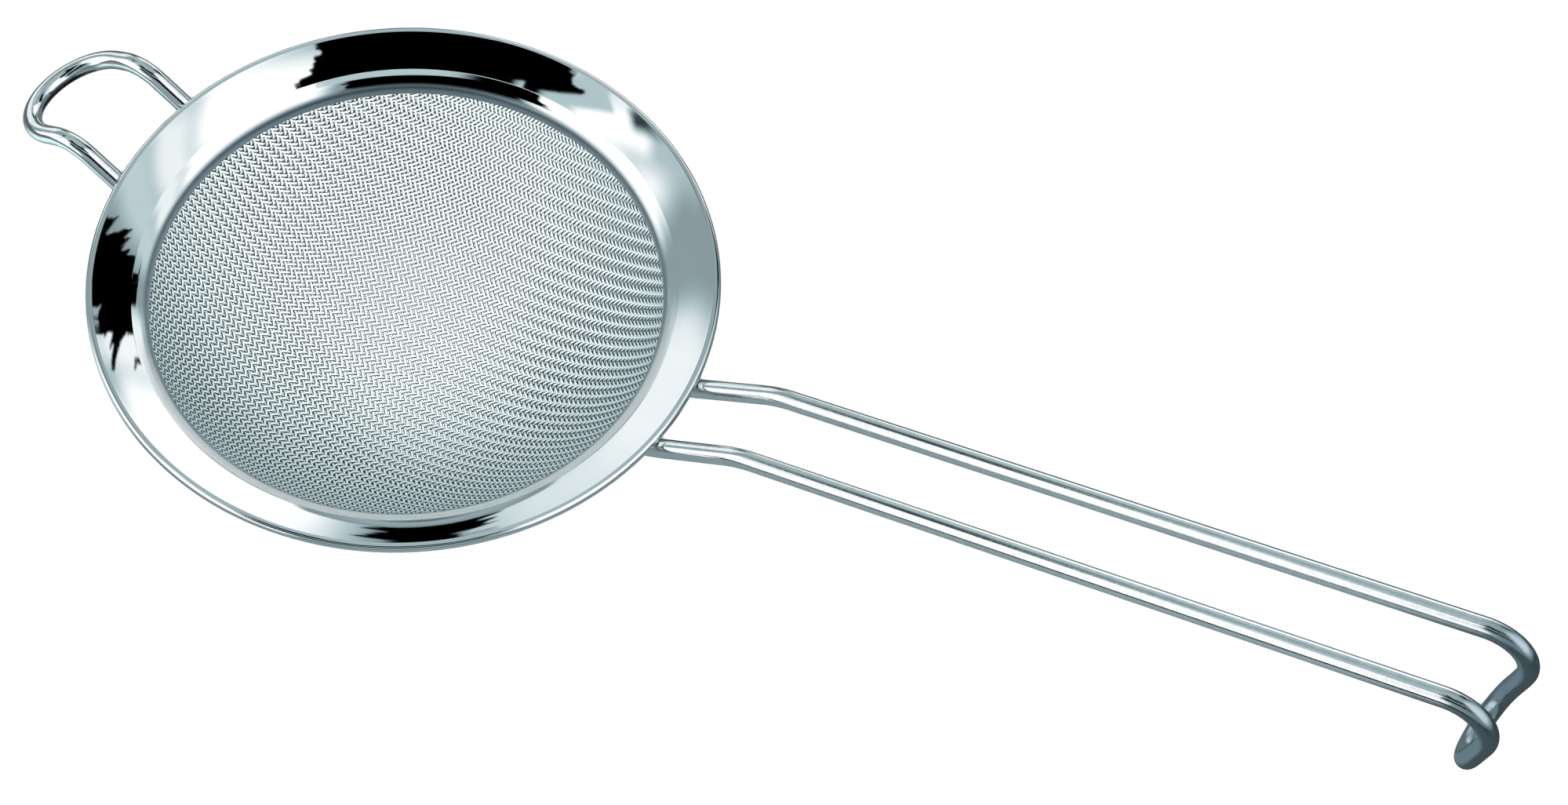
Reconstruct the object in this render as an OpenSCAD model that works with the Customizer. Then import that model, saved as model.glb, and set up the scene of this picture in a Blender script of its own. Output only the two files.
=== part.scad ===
// Stainless tea strainer: a woven wire bowl held in a wide flanged rim, with a bent wire handle
// and, opposite it, a bent wire loop that rests on the far edge of the cup.
// Origin: rim centre, in the plane of the rim's top edge. +X towards the handle, +Z up. Millimetres.

/* [Rim] */
// Outer diameter of the rim
rim_d = 98.5; // [96:0.5:110]
// Diameter of the opening, inside the lip
opening_d = 80.6; // [78:0.2:83]
// Thickness of the pressed sheet
sheet_t = 0.8; // [0.5:0.1:0.9]
// Fall of the flange towards the opening, in degrees
flange_fall = 29; // [26:0.2:31]
// Height of the turned-down outer skirt
skirt_h = 1.25; // [1.2:0.05:1.8]
// Depth of the lip's lower edge below the rim's top edge
lip_depth = 6.8; // [6.6:0.1:8]
// Depth of the clamp ring's lower edge below the rim's top edge
clamp_depth = 7.8; // [7.5:0.1:8.6]

/* [Wire cloth bowl] */
// Depth of the bowl's lowest point below the rim's top edge
bowl_depth = 35; // [30:0.5:40]
// Thickness of a solid sheet with the same metal in it as the wire cloth
cloth_t = 0.3; // [0.2:0.05:0.5]

/* [Wires] */
// Diameter of the handle's and the rest loop's wire
wire_d = 3; // [2.5:0.1:3.2]

/* [Handle] */
// Distance between the centres of the handle's two legs
leg_pitch = 12.4; // [10:0.2:16]
// Rise of the legs where they leave the rim, in degrees
root_rise = 33.5; // [29:0.5:38]
// Length of a root from the skirt to the corner of its bend
root_len = 16.1; // [12:0.1:24]
// Centreline radius of the bend at the root
root_bend_r = 16; // [8:1:24]
// Rise of the straight part, in degrees
handle_rise = 15.1; // [8:0.1:24]
// Length of the straight part, from the corner of the root's bend to the start of the hook
handle_len = 109.4; // [70:0.2:140]
// How far one leg runs past the other before the hook is folded
hook_skew = 1.2; // [0:0.1:2]
// Centreline radius of the fold
fold_r = 6.3; // [4:0.1:10]
// Angle through which the end is folded down and back
fold_turn = 113.8; // [90:0.2:135]
// Straight part between the fold and the hook's round end
hook_len = 3.8; // [1:0.1:12]

/* [Rest loop] */
// Distance between the centres of the loop's two legs, which is also the width of its round end
loop_pitch = 18; // [14:0.5:26]
// Turn of the loop about the rim, away from dead opposite the handle, in degrees
loop_turn = 1.9; // [-4:0.1:4]
// Rise of the legs where they leave the rim, in degrees
loop_rise = 32.4; // [29:0.2:36]
// Straight part of a leg, from the skirt to the start of its bend
loop_leg_len = 7; // [4:0.1:12]
// Centreline radius of the downward bend
loop_bend_r = 6.7; // [4:0.1:10]
// Angle of the downward bend
loop_bend = 58.9; // [30:0.1:80]
// Straight part between the bend and the round end
loop_tip_len = 1.8; // [0.5:0.1:6]

/* [Hidden] */
$fn = 96;

rim_r = rim_d / 2;
wire_r = wire_d / 2;
touch_gap = 0.08;                // clearance between a wire and the skirt's lower edge
root_in = 4.8;                   // length of a wire's root, which lies along the clamp ring
bend_steps = 6;                  // facets in the outline of each sheet bend
bend_in_r = 0.3;                 // inside radius of the bends from flange to lip
bend_out_r = bend_in_r + sheet_t;
wire_sides = 16;
end_steps = 16;                  // steps in the round end of a hairpin
weld_r = 1;
weld_len = 3.2;
weld_start = 0.4;                // distance of a bead from the end of its wire

// The edge bend turns the flange down into the skirt. Its outside radius is the sheet's
// thickness and its highest point is at z = 0. edge_touch is where the flange's top face meets it.
edge_c = [rim_r - sheet_t, -sheet_t];
edge_touch = edge_c + sheet_t * [-sin(flange_fall), cos(flange_fall)];

// Height at radius r of a cone face that lies depth below the flange's top face, square to it
function z_flange(r, depth) =
    edge_touch[1] - (edge_touch[0] - r) * tan(flange_fall) - depth / cos(flange_fall);

// Wire cloth: a collar between the two lips, and below it a cap of a ball. mouth_z is where they
// join, and collar_top is where the collar ends under the flange.
lip_ri = opening_d / 2;
lip_ro = lip_ri + sheet_t;
mouth_z = -lip_depth - 0.3;
cloth_mid_r = lip_ro + cloth_t / 2 + 0.02;
cap_h = bowl_depth + mouth_z;
ball_r = (cloth_mid_r * cloth_mid_r + cap_h * cap_h) / (2 * cap_h);
ball_z = ball_r - bowl_depth;
collar_ri = sqrt(pow(ball_r - cloth_t / 2, 2) - pow(mouth_z - ball_z, 2));
collar_ro = sqrt(pow(ball_r + cloth_t / 2, 2) - pow(mouth_z - ball_z, 2));
collar_top = z_flange(lip_ri + bend_out_r, bend_out_r);
clamp_edge_r = rim_r - sheet_t - 0.25;

// The gap that a weld bead fills, from the top of a wire's root to the clamp ring
weld_gap = (z_flange(rim_r, 2 * sheet_t) + skirt_h + touch_gap) * cos(flange_fall);

// Points on an arc about c, from angle a to angle b
function arc_points(c, r, a, b) =
    [for (i = [0 : bend_steps]) let (t = a + (b - a) * i / bend_steps) c + r * [cos(t), sin(t)]];

// Outline of a sheet from a lip of inside radius ri, over the bend, to a flange whose top face
// lies depth below the rim's. upper and lower are the points at the flange's outer end.
function lip_and_flange(ri, bottom, depth, upper, lower) =
    let (c = [ri + bend_out_r, z_flange(ri + bend_out_r, depth + bend_out_r)])
    concat([[ri, bottom]], arc_points(c, bend_out_r, 180, 90 + flange_fall),
           upper, lower,
           arc_points(c, bend_in_r, 90 + flange_fall, 180), [[ri + sheet_t, bottom]]);

// A wire's route is planned in the upright plane of each leg, as [distance out, height]. rise is
// the way it runs, in degrees above level.
function ahead(p, rise, length) = p + length * [cos(rise), sin(rise)];

// Points along a downward bend that starts at p
function bend_down(p, rise, turn, r, steps) =
    let (c = p + r * [sin(rise), -cos(rise)])
    [for (i = [0 : steps]) let (t = rise - turn * i / steps) c + r * [-sin(t), cos(t)]];
function last(v) = v[len(v) - 1];
function lift(points, y) = [for (p = points) [p[0], y, p[1]]];
function flip(v) = [for (i = [len(v) - 1 : -1 : 0]) v[i]];
function unit(v) = v / norm(v);

// The place where a wire at distance y from the X axis passes under the skirt's lower edge
function under_skirt(y) =
    [sqrt(rim_r * rim_r - y * y), -skirt_h - touch_gap - wire_r / cos(flange_fall)];

// A hairpin of two legs, low at -y and high at +y, joined by a round end. way is how both legs
// run where the round end starts.
function hairpin(low, high, y, way) =
    let (a = [last(low)[0], -y, last(low)[1]],
         b = [last(high)[0], y, last(high)[1]],
         mid = (a + b) / 2,
         half = (b - a) / 2,
         out = norm(half) * [cos(way), 0, sin(way)])
    concat(lift(low, -y),
           [for (i = [1 : end_steps - 1]) let (t = 180 * i / end_steps)
               mid - half * cos(t) + out * sin(t)],
           flip(lift(high, y)));

// One leg of the handle. side is 1 for the leg that runs further before the hook.
function handle_leg(side) =
    let (skirt = under_skirt(leg_pitch / 2),
         turn = root_rise - handle_rise,
         tangent = root_bend_r * tan(turn / 2),
         root = bend_down(ahead(skirt, root_rise, root_len - tangent),
                          root_rise, turn, root_bend_r, 3),
         straight = handle_len - tangent + side * hook_skew / 2,
         fold = bend_down(ahead(last(root), handle_rise, straight),
                          handle_rise, fold_turn, fold_r, 12),
         tip = hook_len - side * hook_skew * cos(fold_turn) / 2)
    concat([ahead(skirt, flange_fall, -root_in), skirt], root, fold,
           [ahead(last(fold), handle_rise - fold_turn, tip)]);

// The rest loop's legs, as they would be on the handle's side of the rim
loop_leg =
    let (skirt = under_skirt(loop_pitch / 2),
         bend = bend_down(ahead(skirt, loop_rise, loop_leg_len),
                          loop_rise, loop_bend, loop_bend_r, 7))
    concat([ahead(skirt, flange_fall, -root_in), skirt], bend,
           [ahead(last(bend), loop_rise - loop_bend, loop_tip_len)]);

// The way a route runs at point i
function heading(route, i) =
    unit(route[min(i + 1, len(route) - 1)] - route[max(i - 1, 0)]);

// The part of v that is square to the way the route runs at point i
function square_to(v, route, i) = let (t = heading(route, i)) unit(v - (v * t) * t);

// A round wire along a route. side_way starts as +Y and is carried along the route, so that the
// wire has no twist.
module wire(route) {
    side_ways = [for (i = 0, v = [0, 1, 0]; i < len(route);
                      i = i + 1, v = i < len(route) ? square_to(v, route, i) : v) v];
    rings = [for (i = [0 : len(route) - 1])
                let (v = side_ways[i], w = cross(heading(route, i), v))
                for (k = [0 : wire_sides - 1]) let (t = 360 * k / wire_sides)
                    route[i] + wire_r * (cos(t) * v + sin(t) * w)];
    skin = [for (i = [0 : len(route) - 2]) for (k = [0 : wire_sides - 1])
               let (a = i * wire_sides, m = (k + 1) % wire_sides)
               [a + k, a + wire_sides + k, a + wire_sides + m, a + m]];
    start = [for (k = [0 : wire_sides - 1]) k];
    end = [for (k = [wire_sides - 1 : -1 : 0]) (len(route) - 1) * wire_sides + k];
    polyhedron(rings, concat(skin, [start, end]));
}

// Two weld beads, each along the top of a wire's root, between the wire and the clamp ring
module weld_beads(pitch)
    for (side = [-1, 1])
        let (foot = ahead(under_skirt(pitch / 2), flange_fall, weld_start - root_in))
        translate([foot[0], side * pitch / 2, foot[1]]) rotate([0, 90 - flange_fall, 0])
            linear_extrude(weld_len) difference() {
                translate([-wire_r - weld_gap, 0]) intersection() {
                    circle(r = weld_r);
                    translate([0, -weld_r]) square([weld_r, 2 * weld_r]);
                }
                circle(r = wire_r);
            }

module rim() color("gainsboro")
    rotate_extrude()
        polygon(lip_and_flange(lip_ri, -lip_depth, 0,
            concat(arc_points(edge_c, sheet_t, 90 + flange_fall, 0), [[rim_r, -skirt_h]]),
            [[rim_r - sheet_t, -skirt_h], edge_c]));

module clamp_ring() color("silver")
    rotate_extrude()
        polygon(lip_and_flange(collar_ro, -clamp_depth, sheet_t,
            [[clamp_edge_r, z_flange(clamp_edge_r, sheet_t)]],
            [[clamp_edge_r, z_flange(clamp_edge_r, 2 * sheet_t)]]));

module mesh_bowl() color("darkgray")
    rotate_extrude() {
        translate([collar_ri, mouth_z]) square([collar_ro - collar_ri, collar_top - mouth_z]);
        intersection() {
            translate([0, ball_z]) difference() {
                circle(r = ball_r + cloth_t / 2);
                circle(r = ball_r - cloth_t / 2);
            }
            translate([0, -2 * bowl_depth]) square([2 * ball_r, 2 * bowl_depth + mouth_z]);
        }
    }

module handle_wire() color("lightsteelblue")
    wire(hairpin(handle_leg(-1), handle_leg(1), leg_pitch / 2, handle_rise - fold_turn));

module rest_loop_wire() color("lightsteelblue")
    rotate([0, 0, 180 - loop_turn])
        wire(hairpin(loop_leg, loop_leg, loop_pitch / 2, loop_rise - loop_bend));

module handle_welds() color("slategray") weld_beads(leg_pitch);

module rest_loop_welds() color("slategray")
    rotate([0, 0, 180 - loop_turn]) weld_beads(loop_pitch);

rim();
clamp_ring();
mesh_bowl();
handle_wire();
rest_loop_wire();
handle_welds();
rest_loop_welds();
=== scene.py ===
"""The looks of the stainless tea strainer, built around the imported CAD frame.

Metres, Z up, +X towards the handle; the origin is the rim's centre, in the plane of its top edge.
Sizes below are in millimetres, as in the CAD source, and MM turns them into metres.
"""
import math

import bpy
import numpy as np
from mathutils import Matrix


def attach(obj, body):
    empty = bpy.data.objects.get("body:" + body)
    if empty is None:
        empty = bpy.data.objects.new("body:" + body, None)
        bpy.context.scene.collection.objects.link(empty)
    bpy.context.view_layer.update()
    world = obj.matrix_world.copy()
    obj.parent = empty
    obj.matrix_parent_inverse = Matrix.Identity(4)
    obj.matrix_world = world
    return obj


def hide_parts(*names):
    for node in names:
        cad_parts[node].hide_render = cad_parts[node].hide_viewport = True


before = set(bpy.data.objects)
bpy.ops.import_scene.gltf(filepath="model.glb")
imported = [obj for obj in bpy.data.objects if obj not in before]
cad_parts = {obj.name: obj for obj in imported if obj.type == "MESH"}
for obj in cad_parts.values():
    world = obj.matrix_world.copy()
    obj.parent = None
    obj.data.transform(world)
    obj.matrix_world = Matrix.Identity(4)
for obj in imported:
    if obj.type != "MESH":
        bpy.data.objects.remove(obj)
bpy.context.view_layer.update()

MM = 0.001
scene = bpy.context.scene

# ---------------------------------------------------------------- camera
LENS_MM = 63.03
SENSOR_MM = 36.0
CAMERA_AT = (146.51, -196.36, 357.40)
CAMERA_TURN = (31.6524, -3.7512, 28.3504)    # degrees, XYZ order

camera_data = bpy.data.cameras.new("camera")
camera_data.lens = LENS_MM
camera_data.sensor_width = SENSOR_MM
camera_data.sensor_fit = "HORIZONTAL"
camera_data.clip_start = 0.01
camera_data.clip_end = 20
camera = bpy.data.objects.new("camera", camera_data)
camera.location = [c * MM for c in CAMERA_AT]
camera.rotation_mode = "XYZ"
camera.rotation_euler = [math.radians(a) for a in CAMERA_TURN]
scene.collection.objects.link(camera)
scene.camera = camera

# ---------------------------------------------------------------- sizes, mm and degrees
RIM_R = 98.5 / 2
LIP_IN_R = 80.6 / 2
SHEET = 0.8
FALL = math.radians(29)
SKIRT_H = 1.25
LIP_DEPTH = 6.8
CLAMP_DEPTH = 7.8
BEND_IN_R = 0.3
CUT_EDGE_R = 0.22                  # rounding of a sheet's cut edge
# The flange bulges a little and rolls over towards the lip. OUTER_FALL is its fall at the outer
# edge, and each knee is (radius, fall inside it in degrees, bend radius).
OUTER_FALL = math.radians(26.6)
KNEES = ((45.4, 31.0, 62.0), (42.65, 36.5, 1.6), (41.6, 43.5, 7.0))
LIP_BEND_R = 1.5

BOWL_DEPTH = 35.0
CLOTH = 0.3                        # the CAD's solid sheet
CLOTH_GAP = 0.02                   # between the cloth and the rim's lip
MOUTH_DROP = 0.3
CLAMP_GAP = 0.25                   # between the clamp ring's edge and the skirt
MESH_WIRE_D = 0.54
PITCH_1 = 0.75                     # between the wires that run along the second direction
PITCH_2 = 0.70                     # between the wires that run along the first direction
MESH_TURN = math.radians(45)       # the first direction, from +X

WIRE_R = 1.5
TOUCH_GAP = 0.08
ROOT_IN = 4.8
LEG_PITCH = 12.4
ROOT_RISE = math.radians(33.5)
ROOT_LEN = 16.1
ROOT_BEND_R = 16.0
HANDLE_RISE = math.radians(15.1)
HANDLE_LEN = 109.4
HOOK_SKEW = 1.2
FOLD_R = 6.3
FOLD_TURN = math.radians(113.8)
HOOK_LEN = 3.8
LOOP_PITCH = 18.0
LOOP_TURN = math.radians(1.9)
LOOP_RISE = math.radians(32.4)
LOOP_LEG_LEN = 7.0
LOOP_BEND_R = 6.7
LOOP_BEND = math.radians(58.9)
LOOP_TIP_LEN = 1.8

# Where the bowl meets the lips: the ball's mouth lies MOUTH_DROP below the rim's lip
edge_c = np.array([RIM_R - SHEET, -SHEET])      # middle of the rim's outer bend, (r, z)
mouth_z = -LIP_DEPTH - MOUTH_DROP
cloth_mid_r = LIP_IN_R + SHEET + CLOTH / 2 + CLOTH_GAP
cap_h = BOWL_DEPTH + mouth_z
ball_r = (cloth_mid_r ** 2 + cap_h ** 2) / (2 * cap_h)
ball_z = ball_r - BOWL_DEPTH
collar_out_r = math.sqrt((ball_r + CLOTH / 2) ** 2 - (mouth_z - ball_z) ** 2)
clamp_edge_r = RIM_R - SHEET - CLAMP_GAP


# ---------------------------------------------------------------- mesh helpers
def make_piece(name, points, faces, normals=None):
    """A smooth mesh object from points in millimetres. normals, if given, are one for each point."""
    mesh = bpy.data.meshes.new(name)
    mesh.from_pydata(np.asarray(points) * MM, [], faces)
    mesh.polygons.foreach_set("use_smooth", np.ones(len(mesh.polygons), bool))
    if normals is not None:
        mesh.normals_split_custom_set_from_vertices(np.asarray(normals).tolist())
    mesh.update()
    piece = bpy.data.objects.new(name, mesh)
    scene.collection.objects.link(piece)
    return piece


def rounded(corners, steps=10):
    """A closed outline with its corners rounded. Each corner is (r, z, radius). Gives the points
    and the outward normal at each, for an outline that runs anticlockwise."""
    points, normals = [], []
    n = len(corners)
    for k in range(n):
        before, here, after = (np.array(corners[(k + d) % n][:2]) for d in (-1, 0, 1))
        a = (before - here) / np.linalg.norm(before - here)
        b = (after - here) / np.linalg.norm(after - here)
        half = math.acos(float(np.clip(a @ b, -1, 1))) / 2
        radius = corners[k][2]
        mid = (a + b) / np.linalg.norm(a + b)
        centre = here + mid * radius / math.sin(half)
        start, end = here + a * radius / math.tan(half), here + b * radius / math.tan(half)
        convex = a[0] * b[1] - a[1] * b[0] < 0
        s, e = (start - centre) / radius, (end - centre) / radius
        sweep = math.acos(float(np.clip(s @ e, -1, 1)))
        for i in range(steps + 1):
            t = i / steps
            d = (math.sin((1 - t) * sweep) * s + math.sin(t * sweep) * e) / math.sin(sweep)
            points.append(centre + radius * d)
            normals.append(d if convex else -d)
    return np.array(points), np.array(normals)


def lathe(name, corners, turns=360, steps=10):
    """A rounded outline spun about Z."""
    points, normals = rounded(corners, steps)
    angle = np.arange(turns) * 2 * math.pi / turns
    c, s = np.cos(angle)[:, None], np.sin(angle)[:, None]
    n = len(points)

    def spin(v):
        return np.stack([c * v[:, 0], s * v[:, 0], np.ones_like(c) * v[:, 1]], -1).reshape(-1, 3)

    i, k = np.meshgrid(np.arange(turns), np.arange(n), indexing="ij")
    i2, k2 = (i + 1) % turns, (k + 1) % n
    faces = np.stack([i * n + k, i2 * n + k, i2 * n + k2, i * n + k2], -1).reshape(-1, 4)
    return make_piece(name, spin(points), faces.tolist(), spin(normals))


def unit(v):
    return v / np.linalg.norm(v)


# ---------------------------------------------------------------- routes of the bent wires
def ahead(p, rise, length):
    return p + length * np.array([math.cos(rise), math.sin(rise)])


def bend_down(p, rise, turn, r):
    centre = p + r * np.array([math.sin(rise), -math.cos(rise)])
    steps = max(8, int(math.degrees(turn) / 2))
    angles = rise - turn * np.linspace(0, 1, steps + 1)
    return [centre + r * np.array([-math.sin(t), math.cos(t)]) for t in angles]


def under_skirt(y):
    return np.array([math.sqrt(RIM_R ** 2 - y * y), -SKIRT_H - TOUCH_GAP - WIRE_R / math.cos(FALL)])


def hairpin(low, high, y, way, steps=60):
    """A route of two legs, low at -y and high at +y, joined by a round end."""
    a, b = (np.array([leg[-1][0], side * y, leg[-1][1]]) for leg, side in ((low, -1), (high, 1)))
    mid, half = (a + b) / 2, (b - a) / 2
    out = np.linalg.norm(half) * np.array([math.cos(way), 0, math.sin(way)])
    tip = [mid - half * math.cos(t) + out * math.sin(t)
           for t in np.linspace(0, math.pi, steps + 1)[1:-1]]

    def lift(leg, side):
        return [np.array([p[0], side * y, p[1]]) for p in leg]

    return np.array(lift(low, -1) + tip + lift(high, 1)[::-1])


def handle_leg(side):
    skirt = under_skirt(LEG_PITCH / 2)
    turn = ROOT_RISE - HANDLE_RISE
    tangent = ROOT_BEND_R * math.tan(turn / 2)
    root = bend_down(ahead(skirt, ROOT_RISE, ROOT_LEN - tangent), ROOT_RISE, turn, ROOT_BEND_R)
    straight = HANDLE_LEN - tangent + side * HOOK_SKEW / 2
    fold = bend_down(ahead(root[-1], HANDLE_RISE, straight), HANDLE_RISE, FOLD_TURN, FOLD_R)
    tip = HOOK_LEN - side * HOOK_SKEW * math.cos(FOLD_TURN) / 2
    return [ahead(skirt, FALL, -ROOT_IN), skirt] + root + fold + [
        ahead(fold[-1], HANDLE_RISE - FOLD_TURN, tip)]


def loop_leg():
    skirt = under_skirt(LOOP_PITCH / 2)
    bend = bend_down(ahead(skirt, LOOP_RISE, LOOP_LEG_LEN), LOOP_RISE, LOOP_BEND, LOOP_BEND_R)
    return [ahead(skirt, FALL, -ROOT_IN), skirt] + bend + [
        ahead(bend[-1], LOOP_RISE - LOOP_BEND, LOOP_TIP_LEN)]


def turned(points, angle):
    c, s = math.cos(angle), math.sin(angle)
    return np.asarray(points) @ np.array([[c, s, 0], [-s, c, 0], [0, 0, 1]])


def spaced(route, step):
    """The route with its points about step apart."""
    run = np.concatenate([[0], np.cumsum(np.linalg.norm(np.diff(route, axis=0), axis=1))])
    at = np.linspace(0, run[-1], int(run[-1] / step) + 1)
    return np.stack([np.interp(at, run, route[:, k]) for k in range(3)], -1)


def rod(name, route, radius, sides=32, step=0.6, chamfer=0.3):
    """A round wire along a route, with chamfered cut ends."""
    route = spaced(route, step)
    way = np.gradient(route, axis=0)
    way /= np.linalg.norm(way, axis=1)[:, None]
    side = np.array([0.0, 1.0, 0.0])
    angle = np.arange(sides) * 2 * math.pi / sides
    rings = []
    last = len(route) - 1
    for k, (p, t) in enumerate(zip(route, way)):
        side = unit(side - (side @ t) * t)
        up = np.cross(t, side)
        ring = np.cos(angle)[:, None] * side + np.sin(angle)[:, None] * up
        face, shoulder = (radius - chamfer) * ring, (radius - 0.3 * chamfer) * ring
        if k == 0:
            rings += [p + face, p + t * chamfer * 0.35 + shoulder]
            p = p + t * chamfer
        if k == last:
            rings.append(p - t * chamfer + radius * ring)
            rings += [p - t * chamfer * 0.35 + shoulder, p + face]
        else:
            rings.append(p + radius * ring)
    points = np.concatenate(rings)
    i, k = np.meshgrid(np.arange(len(rings) - 1), np.arange(sides), indexing="ij")
    k2 = (k + 1) % sides
    faces = np.stack([i * sides + k, (i + 1) * sides + k, (i + 1) * sides + k2, i * sides + k2], -1)
    faces = faces.reshape(-1, 4).tolist()
    tail = (len(rings) - 1) * sides
    faces += [list(range(sides)), [tail + q for q in range(sides)][::-1]]
    return make_piece(name, points, faces)


# ---------------------------------------------------------------- woven cloth
def cloth_net():
    """Crossings of the cloth's wires on the ball: a net of equal steps each way from two great
    circles through the bottom, as woven cloth lies on a bowl."""
    centre = np.array([0, 0, ball_z])
    spare_arc, spare_height = 1.5, 6.0        # how far the net is worked out past the ball's mouth
    reach = math.acos((ball_z - mouth_z) / ball_r) * ball_r + spare_arc
    n1, n2 = int(reach / PITCH_1) + 1, int(reach / PITCH_2) + 1
    net = np.full((2 * n1 + 1, 2 * n2 + 1, 3), np.nan)
    first = np.array([math.cos(MESH_TURN), math.sin(MESH_TURN), 0])
    second = np.array([-math.sin(MESH_TURN), math.cos(MESH_TURN), 0])

    def on_circle(way, arc):
        return ball_r * (math.sin(arc / ball_r) * way - np.array([0, 0, math.cos(arc / ball_r)]))

    for i in range(-n1, n1 + 1):
        net[i + n1, n2] = on_circle(first, i * PITCH_1)
    for j in range(-n2, n2 + 1):
        net[n1, j + n2] = on_circle(second, j * PITCH_2)
    for si in (-1, 1):
        for sj in (-1, 1):
            for i in range(1, n1 + 1):
                for j in range(1, n2 + 1):
                    o = net[n1 + si * (i - 1), n2 + sj * (j - 1)]
                    a = net[n1 + si * (i - 1), n2 + sj * j]
                    b = net[n1 + si * i, n2 + sj * (j - 1)]
                    if np.isnan(a[0]) or np.isnan(b[0]):
                        continue
                    if min(a[2], b[2]) > mouth_z - ball_z + spare_height:
                        continue
                    m = unit(a + b)
                    net[n1 + si * i, n2 + sj * j] = 2 * (o @ m) * m - o
    return net, centre


def woven(name, net, centre, over, top_z, sides=6):
    """One set of the cloth's wires. net[w] is a wire's crossings in order, and over[w] is +1 where
    it lies outside the crossing wire and -1 where it lies inside."""
    radius = MESH_WIRE_D / 2
    crimp = MESH_WIRE_D / 2
    angle = np.arange(sides) * 2 * math.pi / sides
    points, faces, base = [], [], 0
    for wire, side in zip(net, over):
        inside = np.flatnonzero(~np.isnan(wire[:, 0]) & (wire[:, 2] + centre[2] < top_z))
        if len(inside) < 3:
            continue
        run = wire[inside[0]:inside[-1] + 1]
        out = run / np.linalg.norm(run, axis=1)[:, None]
        route = run + out * (crimp * side[inside[0]:inside[-1] + 1])[:, None]
        way = np.gradient(route, axis=0)
        way /= np.linalg.norm(way, axis=1)[:, None]
        across = np.cross(out, way)
        across /= np.linalg.norm(across, axis=1)[:, None]
        up = np.cross(way, across)
        ring = (np.cos(angle)[None, :, None] * across[:, None]
                + np.sin(angle)[None, :, None] * up[:, None])
        points.append((route[:, None] + radius * ring + centre).reshape(-1, 3))
        i, k = np.meshgrid(np.arange(len(route) - 1), np.arange(sides), indexing="ij")
        k2 = (k + 1) % sides
        quads = np.stack([i * sides + k, i * sides + k2, (i + 1) * sides + k2, (i + 1) * sides + k], -1)
        faces += (quads.reshape(-1, 4) + base).tolist()
        tail = base + (len(route) - 1) * sides
        faces += [[base + q for q in range(sides)][::-1], [tail + q for q in range(sides)]]
        base += len(route) * sides
    return make_piece(name, np.concatenate(points), faces)


# ---------------------------------------------------------------- pieces
def z_outer(r, depth):
    """Height at radius r, outside the knees, of a face that lies depth below the flange's top."""
    touch = edge_c + SHEET * np.array([-math.sin(OUTER_FALL), math.cos(OUTER_FALL)])
    return touch[1] - (touch[0] - r) * math.tan(OUTER_FALL) - depth / math.cos(OUTER_FALL)


def roll_over(depth, lip_r):
    """Corners of the face that lies depth below the flange's top face, from its knees to a lip
    of radius lip_r."""
    corners, fall, (r, z) = [], OUTER_FALL, (KNEES[0][0], z_outer(KNEES[0][0], 0))
    for knee_r, inner, bend_r in KNEES:
        inner = math.radians(inner)
        z -= (r - knee_r) * math.tan(fall)
        r = knee_r
        half, step = (inner + fall) / 2, depth / math.cos((inner - fall) / 2)
        corners.append((r + step * math.sin(half), z - step * math.cos(half), bend_r))
        fall = inner
    r, z, _ = corners[-1]
    return corners + [(lip_r, z - (r - lip_r) * math.tan(fall), LIP_BEND_R)]


def sheet_corners(lip_r, bottom, depth, outer):
    """Outline of a sheet whose top face lies depth below the rim's. outer is its outer end."""
    top, low = roll_over(depth, lip_r), roll_over(depth + SHEET, lip_r + SHEET)
    low = [(r, z, max(BEND_IN_R, bend_r - SHEET)) for r, z, bend_r in low]
    return [(lip_r, bottom, CUT_EDGE_R), (lip_r + SHEET, bottom, CUT_EDGE_R),
            *low[::-1], *outer, *top]


def rim_corners():
    return sheet_corners(LIP_IN_R, -LIP_DEPTH, 0, [
        (edge_c[0], edge_c[1], 0.05),
        (RIM_R - SHEET, -SKIRT_H, 0.15),
        (RIM_R, -SKIRT_H, CUT_EDGE_R),
        (RIM_R, z_outer(RIM_R, 0), SHEET)])


def clamp_corners():
    return sheet_corners(collar_out_r, -CLAMP_DEPTH, SHEET, [
        (clamp_edge_r, z_outer(clamp_edge_r, 2 * SHEET), CUT_EDGE_R),
        (clamp_edge_r, z_outer(clamp_edge_r, SHEET), CUT_EDGE_R)])


rim = lathe("rim_flange", rim_corners(), turns=400, steps=12)
clamp = lathe("clamp_ring_sheet", clamp_corners(), turns=320, steps=8)

net, ball_centre = cloth_net()
step_i, step_j = np.meshgrid(np.arange(net.shape[0]), np.arange(net.shape[1]), indexing="ij")
twill = np.where((step_i + step_j) % 4 < 2, 1.0, -1.0)
cloth_top = mouth_z + 0.5
warp = woven("mesh_warp", net, ball_centre, twill, cloth_top)
weft = woven("mesh_weft", net.transpose(1, 0, 2), ball_centre, -twill.T, cloth_top)

handle_route = hairpin(handle_leg(-1), handle_leg(1), LEG_PITCH / 2, HANDLE_RISE - FOLD_TURN)
loop_route = turned(hairpin(loop_leg(), loop_leg(), LOOP_PITCH / 2, LOOP_RISE - LOOP_BEND),
                    math.pi - LOOP_TURN)
handle = rod("handle_rod", handle_route, WIRE_R)
rest_loop = rod("rest_loop_rod", loop_route, WIRE_R)


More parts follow.
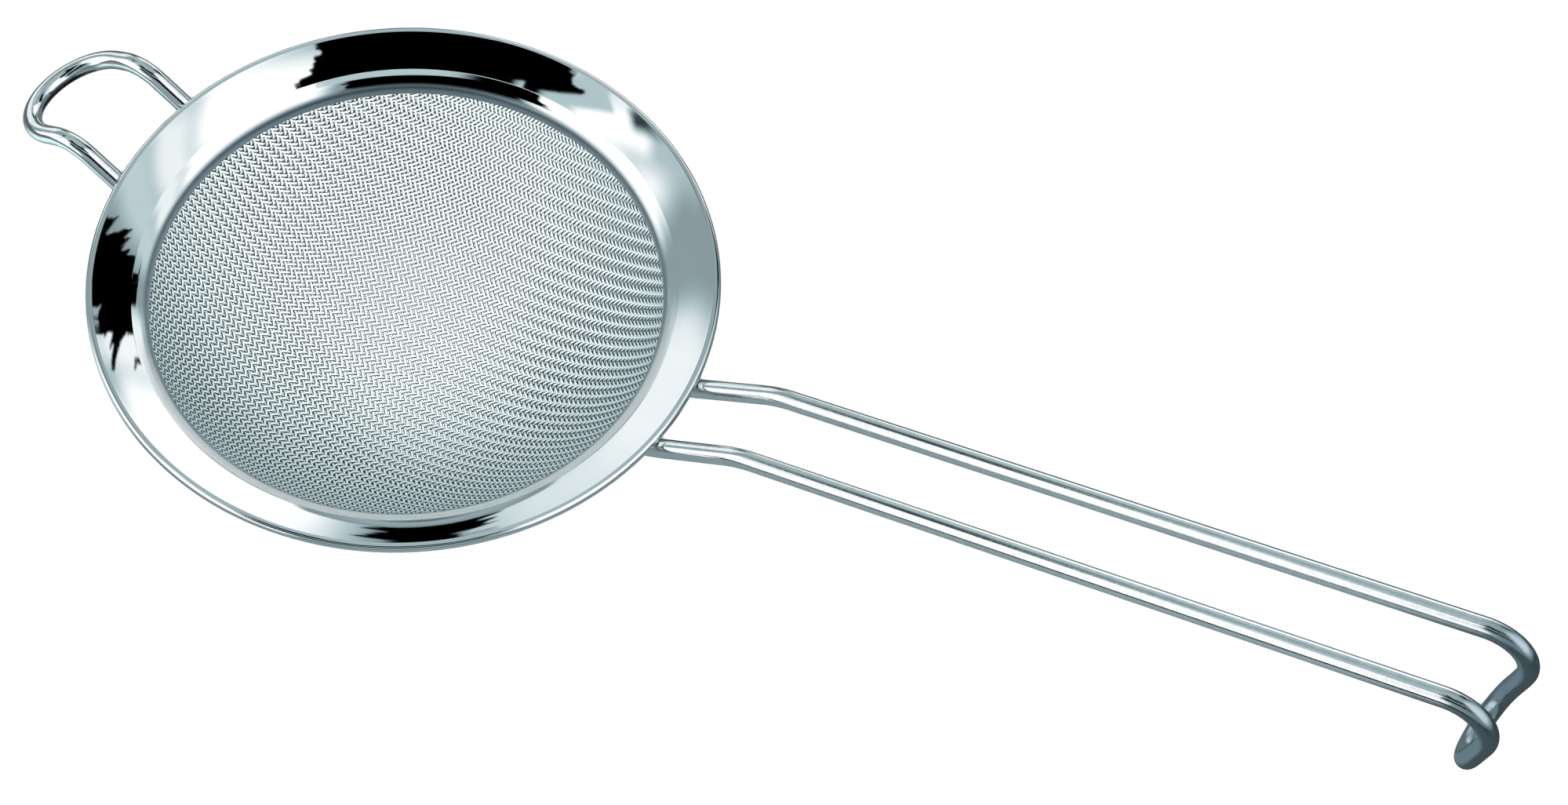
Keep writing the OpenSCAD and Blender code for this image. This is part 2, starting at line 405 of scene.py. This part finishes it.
def weld_beads(name, pitch, turn, seed):
    """Two beads, each along the top of a wire's root, between the wire and the clamp ring."""
    rng = np.random.default_rng(seed)
    length, half_width, height = 3.4, 1.25, 0.42
    rings, sides = 28, 20
    points, faces = [], []
    for side in (-1, 1):
        foot = ahead(under_skirt(pitch / 2), FALL, 0.3 - ROOT_IN)
        along = np.array([math.cos(FALL), 0, math.sin(FALL)])
        up = np.array([-math.sin(FALL), 0, math.cos(FALL)])
        across = np.array([0, 1.0, 0])
        start = np.array([foot[0], side * pitch / 2, foot[1]]) + up * (WIRE_R - 0.05)
        base = len(points)
        for i in range(rings):
            t = (i + 0.5) / rings
            swell = math.sqrt(max(0.0, 1 - (2 * t - 1) ** 2)) ** 0.8
            ripple = 1 + 0.07 * math.sin(t * 2 * math.pi * 6) + rng.normal(0, 0.02)
            for k in range(sides):
                a = 2 * math.pi * k / sides
                lean = 0.06 * math.sin(3 * a + 9 * t)
                section = across * math.cos(a) * half_width + up * math.sin(a) * height
                points.append(start + along * (length * t) + section * swell * (ripple + lean))
        for i in range(rings - 1):
            for k in range(sides):
                k2 = (k + 1) % sides
                a, b = base + i * sides, base + (i + 1) * sides
                faces.append([a + k, a + k2, b + k2, b + k][::-1])
        faces += [[base + k for k in range(sides)],
                  [base + (rings - 1) * sides + k for k in range(sides)][::-1]]
    return make_piece(name, turned(points, turn), faces)


handle_welds = weld_beads("handle_weld_beads", LEG_PITCH, 0.0, 3)
loop_welds = weld_beads("rest_loop_weld_beads", LOOP_PITCH, math.pi - LOOP_TURN, 5)


# ---------------------------------------------------------------- materials
def add(tree, kind, inputs=(), **settings):
    """Adds a node. inputs maps a socket's name or number to a value or to another node's output."""
    made = tree.nodes.new(kind)
    for key, value in settings.items():
        setattr(made, key, value)
    for key, value in dict(inputs).items():
        socket = made.inputs[key]
        if isinstance(value, bpy.types.NodeSocket):
            tree.links.new(value, socket)
        else:
            socket.default_value = value
    return made


def maths(tree, operation, *values):
    return add(tree, "ShaderNodeMath", dict(enumerate(values)), operation=operation).outputs[0]


def measure(tree, operation, a, b):
    """The DISTANCE or DOT_PRODUCT of two vectors."""
    return add(tree, "ShaderNodeVectorMath", {0: a, 1: b}, operation=operation).outputs["Value"]


def scaled(tree, vector, by):
    return add(tree, "ShaderNodeVectorMath", {0: vector, 3: by}, operation="SCALE").outputs[0]


def parts(tree, vector):
    return add(tree, "ShaderNodeSeparateXYZ", {0: vector}).outputs


def blend(tree, share, first, second):
    """The first colour, going over to the second as share goes from 0 to 1."""
    return add(tree, "ShaderNodeMix", {0: share, 6: first, 7: second}, data_type="RGBA").outputs[2]


def sum_of(tree, first, part, second):
    """part of the first number and the rest of the second."""
    return maths(tree, "ADD", maths(tree, "MULTIPLY", first, part),
                 maths(tree, "MULTIPLY", second, round(1 - part, 6)))


def remap(tree, value, low, high, to_low, to_high, smooth=False):
    return add(tree, "ShaderNodeMapRange",
               {0: value, 1: low, 2: high, 3: to_low, 4: to_high},
               interpolation_type="SMOOTHSTEP" if smooth else "LINEAR").outputs[0]


def noise(tree, vector, scale, detail=2.0, rough=0.5, distortion=0.0):
    return add(tree, "ShaderNodeTexNoise",
               {"Vector": vector, "Scale": scale, "Detail": detail, "Roughness": rough,
                "Distortion": distortion}).outputs["Fac"]


def ramp(tree, value, stops):
    made = add(tree, "ShaderNodeValToRGB", {0: value})
    elements = made.color_ramp.elements
    while len(elements) < len(stops):
        elements.new(0.5)
    for element, (at, colour) in zip(elements, stops):
        element.position = at
        element.color = (*colour, 1)
    return made.outputs[0]


def metal(name):
    """An empty metal material: its tree, its shader and the object's own coordinates in mm."""
    material = bpy.data.materials.new(name)
    material.use_nodes = True
    tree = material.node_tree
    tree.nodes.clear()
    shader = add(tree, "ShaderNodeBsdfPrincipled", {"Metallic": 1.0})
    add(tree, "ShaderNodeOutputMaterial", {"Surface": shader.outputs[0]})
    place = scaled(tree, add(tree, "ShaderNodeTexCoord").outputs["Object"], 1000.0)
    return material, tree, shader, place


def bump(tree, height, strength, distance_mm, after=None):
    inputs = {"Height": height, "Strength": strength, "Distance": distance_mm * MM}
    if after is not None:
        inputs["Normal"] = after
    return add(tree, "ShaderNodeBump", inputs).outputs[0]


# Both rings' lips are painted darker below a height, as painted shade, and on the side that faces
# RUBBED_SIDE both rings are rubbed duller below RUBBED_Z
LIP_SHADE_TINT = (0.22, 0.27, 0.31, 1)
LIP_ROUGH = 0.32
RUBBED_SIDE = (0.6, -0.8, 0)
RUBBED_ROUGH = 0.38
RUBBED_REACH = (-5, 20)            # mm along RUBBED_SIDE
RUBBED_Z = (-2.9, -3.5)            # mm


def polished_sheet(name, tint, rough_low, rough_high, turned_lines, waviness, lip_shade_z):
    """Pressed stainless sheet: a soft waviness, fine marks that run round the ring, and grain."""
    material, tree, shader, place = metal(name)
    x, y, z = parts(tree, place)
    radius = maths(tree, "SQRT", maths(tree, "ADD", maths(tree, "MULTIPLY", x, x),
                                       maths(tree, "MULTIPLY", y, y)))
    along_slope = maths(tree, "ADD", radius, maths(tree, "MULTIPLY", z, 0.7))
    round_x, round_y = maths(tree, "DIVIDE", x, radius), maths(tree, "DIVIDE", y, radius)
    lines = add(tree, "ShaderNodeCombineXYZ",
                {0: maths(tree, "MULTIPLY", round_x, 2.2), 1: maths(tree, "MULTIPLY", round_y, 2.2),
                 2: maths(tree, "MULTIPLY", along_slope, 9.0)}).outputs[0]
    line = noise(tree, lines, 1.0, 3.0, 0.6)
    grain = noise(tree, place, 5.5, 2.0, 0.6)
    cloud = noise(tree, place, 0.09, 3.0, 0.55)
    speck = noise(tree, place, 2.2, 1.0, 0.5)
    wave = noise(tree, place, 0.045, 1.0, 0.4)
    base = ramp(tree, sum_of(tree, cloud, 0.6, grain), [(0.3, [0.93 * c for c in tint]), (0.7, tint)])
    # painted shade: below a height the lip's colour goes over to a darker tint
    lip = remap(tree, z, *lip_shade_z, 0.0, 1.0, True)
    tree.links.new(blend(tree, lip, base, LIP_SHADE_TINT), shader.inputs["Base Color"])
    rough = maths(tree, "MAXIMUM",
                  remap(tree, sum_of(tree, line, 0.5, speck), 0.3, 0.7, rough_low, rough_high),
                  maths(tree, "MULTIPLY", lip, LIP_ROUGH))
    side = measure(tree, "DOT_PRODUCT", place, RUBBED_SIDE)
    rubbed = maths(tree, "MULTIPLY", remap(tree, side, *RUBBED_REACH, 0.0, RUBBED_ROUGH, True),
                   remap(tree, z, *RUBBED_Z, 0.0, 1.0, True))
    tree.links.new(maths(tree, "MAXIMUM", rough, rubbed), shader.inputs["Roughness"])
    normal = bump(tree, wave, 1.0, waviness)
    normal = bump(tree, line, turned_lines, 0.004, normal)
    normal = bump(tree, grain, 0.12, 0.003, normal)
    tree.links.new(normal, shader.inputs["Normal"])
    return material


# The cloth's colour holds painted light and shade: it is painted brightest near one place and darker away
# from it, and its wires are painted darker down their flanks, where they lie against each other, as painted
# shade
PAINTED_LIGHT_REACH = (18, 62)              # mm from that place
PAINTED_SHADE_TINT = (0.48, 0.60, 0.63, 1)
FLANK = (0.46, 0.90)               # how far a face is turned to the bowl's inside or outside
FLANK_SHADE_LEVEL = 0.09
# The handle's folded end is duller, and its colour is painted darker there as painted shade
HOOK_SHADE_AND_DULL_X = (166, 173)            # x, mm
HOOK_SHADE_TINT = (0.42, 0.51, 0.56, 1)
HOOK_ROUGH = 0.36


def drawn_wire(name, tint, rough_low, rough_high, grain_scale, waviness, metallic=1.0,
               painted_light_from=None):
    """Drawn wire: grain and small pits, with the polish broken a little along it. The cloth's
    wires are given a place where painted light keeps them brightest; away from it, and down their flanks,
    their colour is painted darker as shade."""
    material, tree, shader, place = metal(name)
    shader.inputs["Metallic"].default_value = metallic
    cloud = noise(tree, place, 0.22, 3.0, 0.55)
    grain = noise(tree, place, grain_scale, 2.0, 0.6)
    mottle = noise(tree, place, 0.9, 3.0, 0.65, 0.4)
    base = ramp(tree, sum_of(tree, mottle, 0.6, grain), [(0.36, [0.86 * c for c in tint]), (0.60, tint)])
    # painted light and shade: the colour darkens away from one place and down the wires' flanks
    if painted_light_from:
        centre = (0, 0, ball_z)
        outwards = add(tree, "ShaderNodeVectorMath", {0: place, 1: centre}, operation="SUBTRACT").outputs[0]
        outwards = add(tree, "ShaderNodeVectorMath", {0: outwards}, operation="NORMALIZE").outputs[0]
        facing = add(tree, "ShaderNodeNewGeometry").outputs["Normal"]
        crown = maths(tree, "ABSOLUTE", measure(tree, "DOT_PRODUCT", facing, outwards))
        painted_flank_shade = remap(tree, crown, *FLANK, FLANK_SHADE_LEVEL, 1.0, True)
        painted_light_falloff = remap(tree, measure(tree, "DISTANCE", place, painted_light_from), *PAINTED_LIGHT_REACH, 0.0, 1.0, True)
        base = scaled(tree, blend(tree, painted_light_falloff, base, PAINTED_SHADE_TINT), painted_flank_shade)
    # painted shade: past an x the folded end's colour goes over to a darker tint, and it is made rougher
    bent = remap(tree, parts(tree, place)[0], *HOOK_SHADE_AND_DULL_X, 0.0, 1.0, True)
    tree.links.new(blend(tree, bent, base, HOOK_SHADE_TINT), shader.inputs["Base Color"])
    rough = remap(tree, cloud, 0.35, 0.65, rough_low, rough_high)
    more = maths(tree, "MULTIPLY", bent, maths(tree, "MULTIPLY", mottle, HOOK_ROUGH))
    tree.links.new(maths(tree, "ADD", rough, more), shader.inputs["Roughness"])
    normal = bump(tree, cloud, 1.0, waviness)
    normal = bump(tree, mottle, 0.8, 0.012, normal)
    normal = bump(tree, grain, 0.3, 0.004, normal)
    tree.links.new(normal, shader.inputs["Normal"])
    return material


def weld_metal(name):
    """Weld bead: rippled, duller, with straw and blue heat colours."""
    material, tree, shader, place = metal(name)
    cloud = noise(tree, place, 0.9, 3.0, 0.6)
    base = ramp(tree, cloud, [(0.3, (0.30, 0.34, 0.42)), (0.45, (0.62, 0.60, 0.56)),
                              (0.6, (0.60, 0.50, 0.36)), (0.75, (0.70, 0.72, 0.72))])
    tree.links.new(base, shader.inputs["Base Color"])
    tree.links.new(remap(tree, cloud, 0.3, 0.7, 0.28, 0.5), shader.inputs["Roughness"])
    tree.links.new(bump(tree, noise(tree, place, 4.0, 3.0, 0.6), 0.6, 0.03), shader.inputs["Normal"])
    return material


STEEL = (0.84, 0.865, 0.87)
CLOTH_STEEL = (0.92, 1.0, 1.0)
rim_look = polished_sheet("rim_steel", STEEL, 0.01, 0.03, 0.12, 0.02, lip_shade_z=(-4.25, -4.9))
clamp_look = polished_sheet("clamp_steel", STEEL, 0.16, 0.28, 0.8, 0.02, lip_shade_z=(-6.5, -8.5))
wire_look = drawn_wire("wire_steel", STEEL, 0.05, 0.12, 5.0, 0.004)
# the cloth's colour carries painted light, brightest near (-15, 20, -24) mm, and painted shade on its
# wires' flanks
mesh_look = drawn_wire("mesh_steel", CLOTH_STEEL, 0.16, 0.26, 9.0, 0.002, metallic=0.56,
                       painted_light_from=(-15, 20, -24))
weld_look = weld_metal("weld_steel")

for piece, node_name, slot_name, look in (
        (rim, "rim", "rim_steel", rim_look),
        (clamp, "clamp_ring", "clamp_steel", clamp_look),
        (warp, "mesh_bowl", "mesh_steel", mesh_look),
        (weft, "mesh_bowl", "mesh_steel", mesh_look),
        (handle, "handle_wire", "wire_steel", wire_look),
        (rest_loop, "rest_loop_wire", "wire_steel", wire_look),
        (handle_welds, "handle_welds", "weld_steel", weld_look),
        (loop_welds, "rest_loop_welds", "weld_steel", weld_look)):
    piece.data.materials.append(look)
    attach(piece, "root")
    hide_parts(node_name)

# ---------------------------------------------------------------- floor
FLOOR_GAP = 0.06                   # mm more than the bowl's depth and one wire
FLOOR_Z = -BOWL_DEPTH - MESH_WIRE_D - FLOOR_GAP
FLOOR_SIZE = 4.0                   # m, as are the other places and distances on the floor
# Each painted pool of light is (place, distance up to which it is full, distance where it ends, brightness)
PAINTED_LIGHT_POOLS = (((-0.11, -0.05, 0), 0.02, 0.07, 0.65),      # front left
         ((-0.30, 0.50, 0), 0.20, 0.50, 0.24))       # back
PAST_HOOK = (0.150, 0.175)         # x where the painted brightness goes from the first to the second
TABLE_PAINTED_LIGHT = (0.150, 0.055)
FRONT_EDGE = (-0.19, -0.25)        # y where the painted brightness falls to the share FRONT_KEEPS
FRONT_KEEPS = 0.15
LANE_WAY = (-0.602, 0.799, 0)      # from the object to the back, about straight off the camera
LANE_ACROSS = (0.799, 0.602, 0)
LANE_WIDTH = (0.06, 0.08)          # half its width, as a share of the distance along it
LANE_STARTS = (0.3, 0.4)
MIRRORED_TINT = (0.78, 1.0, 1.06)

bpy.ops.mesh.primitive_plane_add(size=FLOOR_SIZE, location=(0, 0, FLOOR_Z * MM))
floor = bpy.context.active_object
floor.name = "floor"
floor_look = bpy.data.materials.new("floor_white")
floor_look.use_nodes = True
tree = floor_look.node_tree
tree.nodes.clear()
place = add(tree, "ShaderNodeTexCoord").outputs["Object"]
paper = ramp(tree, noise(tree, place, 60.0, 3.0, 0.6),
             [(0.3, (0.93, 0.935, 0.935)), (0.7, (0.95, 0.95, 0.95))])
seen = add(tree, "ShaderNodeBsdfDiffuse", {"Color": paper})

# What the steel mirrors is a grey table top with light and shade painted into its colour: painted pools of
# light at the front left and at the back, painted shade past the hook and towards the front, and a painted
# black lane at the back.
east, north, _ = parts(tree, place)
painted_light = remap(tree, east, *PAST_HOOK, *TABLE_PAINTED_LIGHT, True)
for spot, full, ends, bright in PAINTED_LIGHT_POOLS:
    far = measure(tree, "DISTANCE", place, spot)
    painted_light = maths(tree, "MAXIMUM", painted_light, remap(tree, far, full, ends, bright, 0.0, True))
painted_light = maths(tree, "MULTIPLY", painted_light, remap(tree, north, *FRONT_EDGE, 1.0, FRONT_KEEPS, True))
# a painted black lane at the back
away = measure(tree, "DOT_PRODUCT", place, LANE_WAY)
aside = maths(tree, "ABSOLUTE",
              maths(tree, "DIVIDE", measure(tree, "DOT_PRODUCT", place, LANE_ACROSS), away))
painted_dark_lane = maths(tree, "MULTIPLY", remap(tree, aside, *LANE_WIDTH, 1.0, 0.0, True),
             remap(tree, away, *LANE_STARTS, 0.0, 1.0, True))
painted_light = maths(tree, "MULTIPLY", painted_light, maths(tree, "SUBTRACT", 1.0, painted_dark_lane))
# the painted light and shade, tinted, as the colour the steel mirrors
shade = add(tree, "ShaderNodeCombineColor",
            {k: maths(tree, "MULTIPLY", painted_light, share) for k, share in enumerate(MIRRORED_TINT)}).outputs[0]
mirrored = add(tree, "ShaderNodeBsdfDiffuse", {"Color": shade})
# The camera sees the floor evenly white; every other ray sees the painted reflection colour
direct = add(tree, "ShaderNodeLightPath").outputs["Is Camera Ray"]
both = add(tree, "ShaderNodeMixShader", {0: direct, 1: mirrored.outputs[0], 2: seen.outputs[0]})
add(tree, "ShaderNodeOutputMaterial", {"Surface": both.outputs[0]})
floor.data.materials.append(floor_look)


# Two lamps light the floor and the matt part of the cloth, from where the camera stands, so that
# the shadows fall behind the object. The polished steel mirrors the studio and the floor.
def floor_lamp(name, kind, energy):
    data = bpy.data.lights.new(name, kind)
    data.energy = energy
    made = bpy.data.objects.new(name, data)
    made.location = camera.location
    made.rotation_euler = camera.rotation_euler
    made.visible_glossy = False
    scene.collection.objects.link(made)
    return data


floor_lamp("near_floor_lamp", "POINT", 17.0).shadow_soft_size = 0.008
floor_lamp("far_floor_lamp", "SUN", 1.2).angle = math.radians(10)

# ---------------------------------------------------------------- studio
world = bpy.data.worlds.new("studio")
scene.world = world
world.use_nodes = True
tree = world.node_tree
tree.nodes.clear()
DEGREES = 180 / math.pi
x, y, z = parts(tree, add(tree, "ShaderNodeTexCoord").outputs["Generated"])
azimuth = maths(tree, "MULTIPLY", maths(tree, "ARCTAN2", y, x), DEGREES)
elevation = maths(tree, "MULTIPLY", maths(tree, "ARCSINE", z), DEGREES)
# The panels' edges are ragged: FINGER is the size of their fingers in degrees of azimuth and
# elevation, and the elevation of an edge wanders by FLATTER of what its azimuth does
FINGER = (22.0, 3.2)
FLATTER = 0.15
fingers = add(tree, "ShaderNodeCombineXYZ", {0: maths(tree, "DIVIDE", azimuth, FINGER[0]),
                                             1: maths(tree, "DIVIDE", elevation, FINGER[1])}).outputs[0]
ragged = remap(tree, noise(tree, fingers, 1.0, 2.5, 0.55), 0.3, 0.7, -1.0, 1.0)


def band(value, low, high, soft, edge=0.0):
    """1 between low and high, with edges that fade over soft and wander by edge degrees."""
    if edge:
        value = maths(tree, "ADD", value, maths(tree, "MULTIPLY", ragged, edge))
    return maths(tree, "MULTIPLY", remap(tree, value, low - soft, low + soft, 0, 1, True),
                 remap(tree, value, high - soft, high + soft, 1, 0, True))


def panel(az_low, az_high, el_low, el_high, soft, edge=0.0):
    """A patch of the studio between two azimuths and two elevations. Azimuths past 180 wrap."""
    around = azimuth
    if az_high > 180:
        start = az_low - 40
        around = maths(tree, "WRAP", azimuth, start + 360.0, start)
    return maths(tree, "MULTIPLY", band(around, az_low, az_high, soft, edge),
                 band(elevation, el_low, el_high, soft, edge * FLATTER))


# Each panel is (azimuths, elevations, softness of its edge, wander of its edge, brightness), in
# degrees, and lies over the ones before it
PANELS = [
    ((-170, -107), (-40, 57), 7, 0, 1.0),         # large soft box, front left
    ((-180, -143), (42, 60), 5, 0, 0.5),          # its upper left edge
    ((-162, -136), (45, 62), 3, 0, 1.0),          # and its upper end
    ((-124, -92), (-7, 22), 4, 0, 1.0),           # low soft box, front
    ((-28, 34), (12, 72), 6, 0, 1.0),             # soft box, right and overhead
    ((34, 50), (12, 62), 6, 0, 0.84),             # where it fades, towards the back
    ((50, 62), (12, 62), 4, 0, 0.57),
    ((74, 90), (6, 32), 4, 0, 0.88),              # beside the light wall
    ((90, 119.5), (-12, 25), 4, 0, 1.0),          # light wall at the back
    ((112, 140), (27, 50), 9, 0, 0.5),            # grey above the light wall
    ((130, 168), (-14, 26), 6, 0, 0.72),          # light wall, back left
    ((142, 164), (4, 26), 6, 0, 0.86),            # its brighter part
    ((-40, 400), (78, 100), 3, 0, 0.45),          # ceiling, open between -80 and -40
    ((156, 204), (50.5, 57), 2, 0, 0.04),         # dark seam that the wires show
    ((50, 215), (58, 100), 6, 0, 0.42),           # ceiling, back left
    ((-150, -22), (53.5, 62), 1, 0, 0.52),        # grey under the black overhead
    ((-115, -35), (36, 53), 0.6, 3, 0.0),         # black, front
    ((-139, -118), (57, 63), 0.5, 3, 0.0),        # black overhead at the front, in three pieces
    ((-139, -13), (59.5, 78), 0.5, 5, 0.0),
    ((-167, -139), (70, 78), 0.5, 4, 0.0),
    ((65.5, 85), (20, 46), 0.4, 6, 0.0),          # black, at the back
    ((123.3, 131.2), (1, 11), 0.3, 4, 0.0),       # black, low at the back
]
STUDIO_POWER = 1.25
BACKGROUND = 0.30                  # brightness where there is no panel
SHADES = [(0.0, (0.0, 0.0, 0.0)), (0.5, (0.405, 0.515, 0.54)), (1.0, (1.0, 1.0, 1.0))]
level = BACKGROUND
for (az_low, az_high), (el_low, el_high), soft, edge, bright in PANELS:
    mask = panel(az_low, az_high, el_low, el_high, soft, edge)
    level = maths(tree, "ADD", maths(tree, "MULTIPLY", level, maths(tree, "SUBTRACT", 1.0, mask)),
                  maths(tree, "MULTIPLY", mask, bright))
background = add(tree, "ShaderNodeBackground",
                 {"Color": ramp(tree, level, SHADES), "Strength": STUDIO_POWER})
add(tree, "ShaderNodeOutputWorld", {"Surface": background.outputs[0]})
world.cycles_visibility.diffuse = False       # the studio itself lights nothing matt

scene.view_settings.view_transform = "Standard"
scene.view_settings.look = "None"
